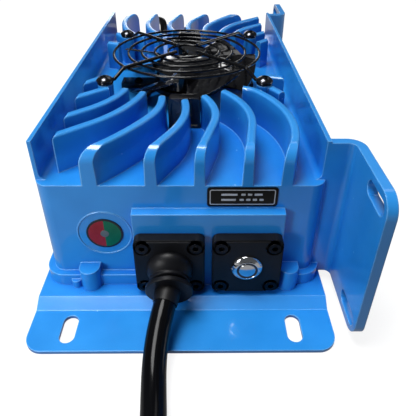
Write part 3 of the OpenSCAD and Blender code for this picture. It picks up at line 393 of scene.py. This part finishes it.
def flowing(rows, steps=4):
    """Rows of numbers with softly curved rows put in between."""
    out = []
    for k in range(len(rows) - 1):
        p, q, r, s = rows[max(k - 1, 0)], rows[k], rows[k + 1], rows[min(k + 2, len(rows) - 1)]
        for i in range(steps):
            t = i / steps
            out.append([(2 * b + (c - a) * t + (2 * a - 5 * b + 4 * c - d) * t * t
                         + (3 * b - a - 3 * c + d) * t ** 3) / 2 for a, b, c, d in zip(p, q, r, s)])
    return out + [list(rows[-1])]


def skin(rings, closed=False, crease=40):
    """A mesh stretched over rings of points: a ring of rings, or a body with flat ends."""
    count = len(rings[0])
    points = [Vector(p) * MM for ring in rings for p in ring]
    faces = []
    for r in range(len(rings) - (not closed)):
        low, top = r * count, (r + 1) % len(rings) * count
        faces += [(low + k, low + (k + 1) % count, top + (k + 1) % count, top + k) for k in range(count)]
    if not closed:
        faces += [tuple(range(count)), tuple(range(len(points) - count, len(points)))]
    mesh = bpy.data.meshes.new("skin")
    mesh.from_pydata(points, [], faces)
    shell = bmesh.new()
    shell.from_mesh(mesh)
    bmesh.ops.recalc_face_normals(shell, faces=shell.faces)
    shell.to_mesh(mesh)
    shell.free()
    mesh.polygons.foreach_set("use_smooth", [True] * len(mesh.polygons))
    mesh.set_sharp_from_angle(angle=math.radians(crease))
    return mesh


def joined(meshes, finish):
    """One mesh of several, in one finish."""
    whole = bmesh.new()
    for mesh in meshes:
        whole.from_mesh(mesh)
    out = bpy.data.meshes.new("joined")
    whole.to_mesh(out)
    whole.free()
    out.materials.clear()
    out.materials.append(finish)
    return out


# Geometry Nodes for what repeats or follows a lead
BOOT_RINGS = 90
BOOT_SIDES = 28


def empty_tree(name, sockets):
    """A tree with these named inputs, and the outputs of the node that holds them."""
    tree = bpy.data.node_groups.new(name, "GeometryNodeTree")
    tree.interface.new_socket("Geometry", in_out="OUTPUT", socket_type="NodeSocketGeometry")
    for label, kind in (("Geometry", "Geometry"), *sockets, ("Finish", "Material")):
        tree.interface.new_socket(label, in_out="INPUT", socket_type="NodeSocket" + kind)
    return tree, add(tree, "NodeGroupInput").outputs


def close_tree(tree, given, shape):
    """Ends a tree: one plain mesh in its finish."""
    plain = add(tree, "GeometryNodeRealizeInstances", {"Geometry": shape})
    coated = add(tree, "GeometryNodeSetMaterial", {"Geometry": plain.outputs[0],
                                                   "Material": given["Finish"]})
    add(tree, "NodeGroupOutput", {"Geometry": coated.outputs[0]})


def repeating_tree():
    """Copies a piece: copy k is moved by k shifts and turned by a first angle and k turns."""
    tree, given = empty_tree("repeated_piece", (("Count", "Int"), ("Shift", "Vector"), ("Centre", "Vector"),
                                                ("First turn", "Float"), ("Turn", "Float")))
    k = add(tree, "GeometryNodeInputIndex").outputs[0]
    moved = add(tree, "ShaderNodeVectorMath", {0: given["Shift"], "Scale": k}, operation="SCALE")
    place = add(tree, "ShaderNodeVectorMath", {0: moved.outputs[0], 1: given["Centre"]}, operation="ADD")
    angle = add(tree, "ShaderNodeMath", {0: k, 1: given["Turn"], 2: given["First turn"]},
                operation="MULTIPLY_ADD")
    spin = add(tree, "ShaderNodeCombineXYZ", {"Z": angle.outputs[0]})
    turned = add(tree, "FunctionNodeEulerToRotation", {0: spin.outputs[0]})
    spots = add(tree, "GeometryNodePoints", {"Count": given["Count"], "Position": place.outputs[0]})
    copies = add(tree, "GeometryNodeInstanceOnPoints", {
        "Points": spots.outputs[0], "Instance": given["Geometry"], "Rotation": turned.outputs[0]})
    close_tree(tree, given, copies.outputs[0])
    return tree


def boot_tree():
    """A tapered sleeve with round ribs along a stretch of a centre line."""
    tree, given = empty_tree("ribbed_boot", (("Start", "Float"), ("End", "Float"), ("First radius", "Float"),
                                             ("Last radius", "Float"), ("Ribs", "Int"),
                                             ("Rib depth", "Float")))
    stretch = add(tree, "GeometryNodeTrimCurve", {"Curve": given["Geometry"], 4: given["Start"],
                                                  5: given["End"]}, mode="LENGTH")
    line = add(tree, "GeometryNodeResampleCurve", {"Curve": stretch.outputs[0], "Count": BOOT_RINGS})
    along = add(tree, "GeometryNodeSplineParameter").outputs["Factor"]
    taper = add(tree, "ShaderNodeMapRange", {"Value": along, "To Min": given["First radius"],
                                             "To Max": given["Last radius"]})
    phase = add(tree, "ShaderNodeMath", {0: along, 1: given["Ribs"]}, operation="MULTIPLY")
    round_way = add(tree, "ShaderNodeMath", {0: phase.outputs[0], 1: 2 * math.pi}, operation="MULTIPLY")
    wave = add(tree, "ShaderNodeMath", {0: round_way.outputs[0]}, operation="COSINE")
    # Only the upper half of the wave stands out, so that the grooves are flat
    rib = add(tree, "ShaderNodeMath", {0: wave.outputs[0], 1: 0.0}, operation="MAXIMUM")
    radius = add(tree, "ShaderNodeMath", {0: rib.outputs[0], 1: given["Rib depth"], 2: taper.outputs[0]},
                 operation="MULTIPLY_ADD")
    profile = add(tree, "GeometryNodeCurvePrimitiveCircle", {"Resolution": BOOT_SIDES, "Radius": 1.0})
    sleeve = add(tree, "GeometryNodeCurveToMesh", {
        "Curve": line.outputs[0], "Profile Curve": profile.outputs[0], "Scale": radius.outputs[0],
        "Fill Caps": True})
    close_tree(tree, given, sleeve.outputs[0])
    return tree


REPEAT = repeating_tree()
BOOT = boot_tree()


def grown(name, tree, data, finish, **values):
    """The plain mesh that a tree makes from a mesh or a curve."""
    maker = linked(name + "_maker", data)
    modifier = maker.modifiers.new("shape", "NODES")
    modifier.node_group = tree
    given = {label.replace("_", " "): value for label, value in values.items()}
    given["Finish"] = finish
    for socket in tree.interface.items_tree:
        if socket.in_out == "INPUT" and socket.name in given:
            modifier[socket.identifier] = given[socket.name]
    ready = maker.evaluated_get(bpy.context.evaluated_depsgraph_get())
    mesh = bpy.data.meshes.new_from_object(ready)
    bpy.data.objects.remove(maker)
    mesh.set_sharp_from_angle(angle=math.radians(50))
    return mesh


def strap(middle, band, height):
    """A strap round a flat bundle of leads whose middle is this far out; its end lies on its start."""
    thick, wide, corner, slack = 0.9, 10, 4.5, 0.55
    half, low, top = band / 2 + slack, 0.5, height + slack
    over = 1.1 * thick
    bends = [15 * k for k in range(7)]
    path = [(-6, top + over), (-2, top + over), (3, top + over)]
    for bend in bends:
        a, r = math.radians(90 - bend), corner + over * (1 - bend / 90)
        path.append((half - corner + r * math.cos(a), top - corner + r * math.sin(a)))
    for turn, (cx, cz) in ((0, (half, low)), (-90, (-half, low)), (180, (-half, top))):
        for bend in bends:
            a = math.radians(turn - bend)
            path.append((cx - math.copysign(corner, cx) + corner * math.cos(a),
                         cz + (corner if cz == low else -corner) + corner * math.sin(a)))
    path += [(0, top), (7, top)]
    rings = []
    for k, (u, v) in enumerate(path):
        (u0, v0), (u1, v1) = path[max(k - 1, 0)], path[min(k + 1, len(path) - 1)]
        long = math.hypot(u1 - u0, v1 - v0)
        nu, nv = -(v1 - v0) / long * thick / 2, (u1 - u0) / long * thick / 2
        rings.append([(middle + u + side * nu, y, v + side * nv)
                      for side, y in ((1, wide / 2), (1, -wide / 2), (-1, -wide / 2), (-1, wide / 2))])
    return skin(rings)


def coil_ties(name, centre, middle, band, height, first):
    """Three straps that hold a coil together; the first one is turned this far."""
    mesh = grown(name, REPEAT, strap(middle, band, height), FINISHES["strap_nylon"], Count=3,
                 Shift=(0, 0, 0), Centre=(centre[0] * MM, centre[1] * MM, 0),
                 First_turn=math.radians(first), Turn=math.radians(120))
    return linked(name, mesh)


def rib_row(base, count, pitch, finish):
    """A row of equal ribs that runs towards -Y."""
    return grown("rib_row", REPEAT, joined(base, finish), finish, Count=count,
                 Shift=(0, -pitch * MM, 0), Centre=(0, 0, 0), First_turn=0.0, Turn=0.0)


def battery_connector():
    # Two-pole shell: narrow back end, joint groove, grip ribs, two round mouths and raised pole marks.
    # Rows are (distance from the back end, half width, half height, corner radius).
    finish = FINISHES["grey_plug_plastic"]
    x0, y0, z0 = -8, -296, 7.8
    half_w, half_h, pole = 18.5, 7.8, 8.2
    rows = [(0, 13.6, 5.3, 3.4), (1, 14.5, 5.8, 3.2), (5, 14.5, 5.8, 2.8), (6.4, 18.1, 7.4, 2.4),
            (7.2, half_w, half_h, 2.2), (29.6, half_w, half_h, 2.2), (30, 18.1, 7.4, 2),
            (31.2, 18.1, 7.4, 2), (31.6, half_w, half_h, 2.2), (45.2, half_w, half_h, 1.9),
            (46, 17.8, 7.1, 1.4)]
    shell = skin([[(x0 + u, y0 - s, z0 + v) for u, v in rounded(w, h, r)] for s, w, h, r in rows])
    body = linked("battery_connector_blank", joined([shell], finish))
    tools = []
    for side in (-1, 1):
        bore = skin([[(x0 + side * pole + r * math.cos(a), y0 - s, z0 + r * math.sin(a))
                      for a in full_turn(36)] for s, r in ((26, 5.6), (44.8, 5.6), (46.6, 6.5))])
        tools.append(linked("bore_tool", bore))
        cut = body.modifiers.new("mouth", "BOOLEAN")
        cut.operation = "DIFFERENCE"
        cut.object = tools[-1]
    ready = body.evaluated_get(bpy.context.evaluated_depsgraph_get())
    cored = bpy.data.meshes.new_from_object(ready)
    for spent in (body, *tools):
        bpy.data.objects.remove(spent)
    ribs = [skin([[(x0 + side * half_w + 0.6 * p, y0 - 10 + 0.5 * q, z0 + z) for p, q in
                   ((1, 0.5), (0.5, 1), (-1, 1), (-1, -1), (0.5, -1), (1, -0.5))]
                  for z in (-5.6, 5.6)]) for side in (-1, 1)]
    grips = rib_row(ribs, count=8, pitch=2.2, finish=finish)
    # Plus and minus in bars of (place across, half width, half length), this far from the back end
    mark_y = 38
    bars = [(-pole, 2, 0.5), (-pole, 0.5, 2), (pole, 2, 0.5)]
    marks = [skin([[(x0 + cx + u, y0 - mark_y + v, z0 + half_h + z) for u, v in rounded(w, h, 0.3)]
                   for z in (-0.3, 0.3)]) for cx, w, h in bars]
    return linked("battery_connector", joined([cored, grips, *marks], finish))


def mains_plug():
    # Over-moulded two-pin plug: round neck that swells into shoulders, a waist for the fingers with
    # ridges. Rows are (distance from the neck, half width, half height, corner radius).
    finish = FINISHES["black_plug_rubber"]
    x0, y0, z0 = 40, 206, 8
    rows = flowing([(-1, 5.3, 5.3, 5.2), (0, 6.5, 6.2, 5.6), (4, 7.3, 6.5, 5.6), (7, 9.2, 7, 5.6),
                    (10.5, 12.7, 7.6, 5), (14, 13.8, 7.9, 4.6), (19, 13.5, 7.7, 4.2),
                    (24, 12.7, 7.4, 4), (28, 13.2, 7.6, 3.6), (32, 13.9, 7.9, 3),
                    (35.2, 13.9, 7.9, 2.6)])
    rows.append((36, 13.2, 7.2, 2.2))
    shell = skin([[(x0 + u, y0 - s, z0 + v) for u, v in rounded(w, h, min(r, w, h), 6)]
                  for s, w, h, r in rows])
    ridges = [skin([[(x0 + u, y0 - 18 + q, z0 + side * (7.3 + p)) for p, q in
                     ((-0.4, -0.55), (0.4, -0.4), (0.6, 0), (0.4, 0.4), (-0.4, 0.55))]
                    for u in (-8, 8)]) for side in (-1, 1)]
    grips = rib_row(ridges, count=6, pitch=2, finish=finish)
    return linked("mains_plug", joined([shell, grips], finish))


def boot(name, points, start, end, first, last, ribs=0, depth=0):
    """A strain relief from start to end along the points, between its first and its last radius."""
    mesh = grown(name, BOOT, centre_line(name, points), FINISHES["black_plug_rubber"],
                 Start=start * MM, End=end * MM, First_radius=first * MM, Last_radius=last * MM,
                 Ribs=ribs, Rib_depth=depth * MM)
    mesh.polygons.foreach_set("use_smooth", [True] * len(mesh.polygons))
    return linked(name, mesh)


# How far the front and rear connector plates stand out from the object's middle
PLATE_FACE = 117.7
# Axis of the push-button, and that of the glands
BUTTON_X, BUTTON_Z = 28.8, 21.8
GLAND_Z = 18.2
GLAND_LEAN = math.radians(12)


def gland_body(name, x0, way, scale):
    # Round shoulder on the square plate, and a leaning neck with a groove and a thin collar.
    # Profiles are (radius, height off the plate).
    def turned(profile, tilt, rise):
        rings = []
        for r, h in profile:
            rings.append([(x0 - way * r * scale * math.cos(a),
                           way * (PLATE_FACE + r * scale * math.sin(a) * math.sin(tilt)
                                  + h * math.cos(tilt)),
                           GLAND_Z + rise + r * scale * math.sin(a) * math.cos(tilt)
                           - h * math.sin(tilt)) for a in full_turn(48)])
        return skin(rings)

    dome_r, dome_h, dome_rise = 10.4, 6.2, 2.8
    dome = turned([(dome_r * math.cos(math.radians(t)), dome_h * math.sin(math.radians(t)))
                   for t in range(-8, 85, 4)], 0, dome_rise)
    neck = turned([(8.9, -2), (8.9, 4.7), (8.5, 5.1), (7.4, 5.2), (7.4, 7), (10.1, 7.1), (10.4, 7.4),
                   (10.4, 8.9), (10.1, 9.2), (5.2, 9.2)], GLAND_LEAN, 0)
    return linked(name, joined([dome, neck], FINISHES["black_nylon"]))


def turned_on_front(name, profile):
    """A polished round piece of the push-button: rings of (radius, height off the plate)."""
    mesh = skin([[(BUTTON_X + r * math.cos(a), -PLATE_FACE - h, BUTTON_Z + r * math.sin(a))
                  for a in full_turn(72)] for r, h in profile], crease=30)
    return linked(name, joined([mesh], FINISHES["stainless_steel"]))


def pressed_cap():
    # Slightly crowned face, which mirrors the paper above and the foot plate below
    cap_r, back, shoulder, face, crown_r, crown = 3.7, -3.8, 1.7, 2.2, 3.5, 0.33
    rings = [(r, face - crown * (r / crown_r) ** 2)
             for r in (crown_r, 3.2, 2.8, 2.4, 2, 1.6, 1.2, 0.8, 0.4, 0.1)]
    return turned_on_front("crowned_button_cap", [(cap_r, back), (cap_r, shoulder), *rings])


def turned_bezel():
    # Wide polished cone round a narrow flat rim, on the barrel that goes through the plate
    return turned_on_front("turned_bezel", [
        (3.75, -18), (3.75, 0.9), (4.6, 0.9), (4.6, 1.8), (4.7, 1.9), (5.05, 1.9), (5.6, 1.62),
        (6.2, 1.25), (6.7, 0.85), (6.95, 0.5), (7, 0.3), (7, 0), (6, 0), (6, -20)])


def label_print():
    # Printed on the setting label: a thin frame and two rows of plain bars. Each row has its height and
    # the left and right end of each bar.
    x0, y0, z0 = 26, -108.4, 53.9
    front, back = -0.05, 0.02
    outer, inner = rounded(13.9, 3.9, 0.9), rounded(13.5, 3.5, 0.6)
    frame_line = skin([[(x0 + u, y0 + y, z0 + v) for u, v in line] for line, y in
                       ((outer, front), (inner, front), (inner, back), (outer, back))], closed=True)
    bars = []
    for height, ends in ((1.35, ((-9, -2.2), (-0.6, 1.2), (2.2, 4), (5, 8.4))),
                         (-1.35, ((-9, -2.8), (-1.2, 0.6), (1.6, 3.4), (4.4, 6.2), (7.2, 9)))):
        for left, right in ends:
            line = rounded((right - left) / 2, 0.5, 0.2, 2)
            bars.append(skin([[(x0 + (left + right) / 2 + u, y0 + y, z0 + height + v) for u, v in line]
                              for y in (front, back)]))
    return linked("label_print", joined([frame_line, *bars], FINISHES["silver_ink"]))


def airflow_mark():
    # Small moulded triangle on the panel of the fan's front leg, a little smaller at its front
    x0, z0 = -3.2, 67
    corners = [(-1.2, -0.9), (1.0, -0.9), (-0.1, 1.1)]
    mesh = skin([[(x0 + size * u, y, z0 + size * v) for u, v in corners]
                 for size, y in ((1.0, -56.5), (0.85, -56.95))])
    return linked("airflow_mark", joined([mesh], FINISHES["black_fan_plastic"]))


output_ties = coil_ties("output_coil_ties", OUT_COIL, middle=49, band=19.6, height=19.6, first=0)
input_ties = coil_ties("input_coil_ties", IN_COIL, middle=37, band=21, height=14, first=30)
input_boot = boot("input_strain_relief", IN_ROUTE, start=2.5, end=43, first=6.2, last=4.3, ribs=9,
                  depth=0.7)
plug_boot = boot("plug_strain_relief", IN_TAIL, start=17.5, end=33, first=4.4, last=6, ribs=4,
                 depth=0.5)
connector_boot = boot("connector_strain_relief", OUT_TAIL, start=20.5, end=36, first=5.5, last=6.6,
                      ribs=4, depth=0.4)
lead_sleeve = boot("output_lead_sleeve", OUT_ROUTE, start=4, end=10.5, first=5.7, last=5.3)
front_gland = gland_body("output_gland_body", -5.4, way=-1, scale=1)
rear_gland = gland_body("input_gland_body", -22, way=1, scale=0.8)
cap_face = pressed_cap()
bezel_face = turned_bezel()
connector_shell = battery_connector()
plug_body = mains_plug()
label_marks = label_print()
fan_mark = airflow_mark()

# Each piece, the body it rides on, its material slot and the CAD nodes that it stands for
PIECES = [
    (output_lead, "charger", "black_cable", ["output_cable", "output_coil"]),
    (input_lead, "charger", "black_cable", ["input_cable", "input_coil"]),
    (output_ties, "charger", "black_rubber", []),
    (input_ties, "charger", "black_rubber", []),
    (input_boot, "charger", "black_plug_rubber", []),
    (plug_boot, "charger", "black_plug_rubber", []),
    (connector_boot, "charger", "black_plug_rubber", []),
    (connector_shell, "charger", "grey_plug_plastic", ["output_connector"]),
    (plug_body, "charger", "black_plug_rubber", ["input_plug"]),
    (lead_sleeve, "charger", "black_plug_rubber", []),
    (front_gland, "charger", "black_nylon", ["output_gland"]),
    (rear_gland, "charger", "black_nylon", ["input_gland"]),
    (label_marks, "charger", "label_film", []),
    (fan_mark, "charger", "black_fan_plastic", []),
    (bezel_face, "charger", "stainless_steel", ["button_bezel"]),
    (cap_face, "button", "stainless_steel", ["button_cap"]),
]
for piece, carrier, slot, stood_for in PIECES:
    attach(piece, carrier)
    if stood_for:
        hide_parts(*stood_for)
for cable in (output_lead, input_lead):
    cable.data.materials.append(FINISHES["black_cable"])

# Studio: pale paper, a white world and soft lamps
FLOOR_HALF = 4
FLOOR_HEIGHT = -0.0002
GLOW = 0.85
# How bright the paper is in a shiny surface, against what the camera sees
PAPER_IN_GLOSS = 0.36
WORLD_FILL = 0.12
# Name, place, what it is aimed at, side in metres and power in watts
LAMPS = [
    ("key_softbox", (-0.26, -0.12, 1.15), (0, 0, 0.05), 0.5, 14.5),
    ("front_softbox", (-0.26, -0.37, 0.16), (-0.35, 0, 0.03), 0.16, 1.25),
    ("back_softbox", (0.4, 0.65, 0.95), (0, 0, 0.05), 0.4, 0.8),
    ("right_softbox", (0.8, 0.1, 0.11), (0, 0, 0.04), 0.3, 1.8),
    ("rear_softbox", (-0.1, 0.95, 0.15), (0, 0, 0.04), 0.3, 0.9),
]


def paper_floor():
    # The camera sees the paper full white, a shiny surface sees it dimmer, and it throws little light up
    mesh = bpy.data.meshes.new("studio_floor")
    mesh.from_pydata([(-FLOOR_HALF, -FLOOR_HALF, 0), (FLOOR_HALF, -FLOOR_HALF, 0),
                      (FLOOR_HALF, FLOOR_HALF, 0), (-FLOOR_HALF, FLOOR_HALF, 0)], [], [(0, 1, 2, 3)])
    floor = linked("studio_floor", mesh)
    floor.location.z = FLOOR_HEIGHT
    material = bpy.data.materials.new("pale_paper_floor")
    material.use_nodes = True
    tree = material.node_tree
    tree.nodes.clear()
    paper = add(tree, "ShaderNodeBsdfDiffuse", {"Color": linear("#808080")})
    ground = add(tree, "ShaderNodeBsdfDiffuse", {"Color": linear("#505052")})
    glow = add(tree, "ShaderNodeEmission", {"Strength": GLOW})
    bright = add(tree, "ShaderNodeAddShader", {0: paper.outputs[0], 1: glow.outputs[0]})
    rays = add(tree, "ShaderNodeLightPath")
    seen = add(tree, "ShaderNodeMath", {0: rays.outputs["Is Glossy Ray"], 1: PAPER_IN_GLOSS,
                                        2: rays.outputs["Is Camera Ray"]}, operation="MULTIPLY_ADD")
    shown = add(tree, "ShaderNodeMixShader", {0: seen.outputs[0], 1: ground.outputs[0],
                                              2: bright.outputs[0]})
    add(tree, "ShaderNodeOutputMaterial", {"Surface": shown.outputs[0]})
    mesh.materials.append(material)


def white_world():
    world = bpy.data.worlds.new("white_studio")
    world.use_nodes = True
    tree = world.node_tree
    tree.nodes.clear()
    rays = add(tree, "ShaderNodeLightPath")
    seen = add(tree, "ShaderNodeMath", {0: rays.outputs["Is Camera Ray"],
                                        1: rays.outputs["Is Transmission Ray"]}, operation="MAXIMUM")
    soft = add(tree, "ShaderNodeBackground", {"Color": linear("#EEF3FA"), "Strength": WORLD_FILL})
    white = add(tree, "ShaderNodeBackground", {"Color": linear("#FFFFFF"), "Strength": 1})
    shown = add(tree, "ShaderNodeMixShader", {0: seen.outputs[0], 1: soft.outputs[0],
                                              2: white.outputs[0]})
    add(tree, "ShaderNodeOutputWorld", {"Surface": shown.outputs[0]})
    bpy.context.scene.world = world


def soft_lamps():
    for name, place, target, size, power in LAMPS:
        data = bpy.data.lights.new(name, "AREA")
        data.size = size
        data.energy = power
        lamp = linked(name, data)
        lamp.location = place
        lamp.rotation_euler = (Vector(target) - Vector(place)).to_track_quat("-Z", "Y").to_euler()


paper_floor()
white_world()
soft_lamps()
bpy.context.scene.view_settings.view_transform = "Standard"
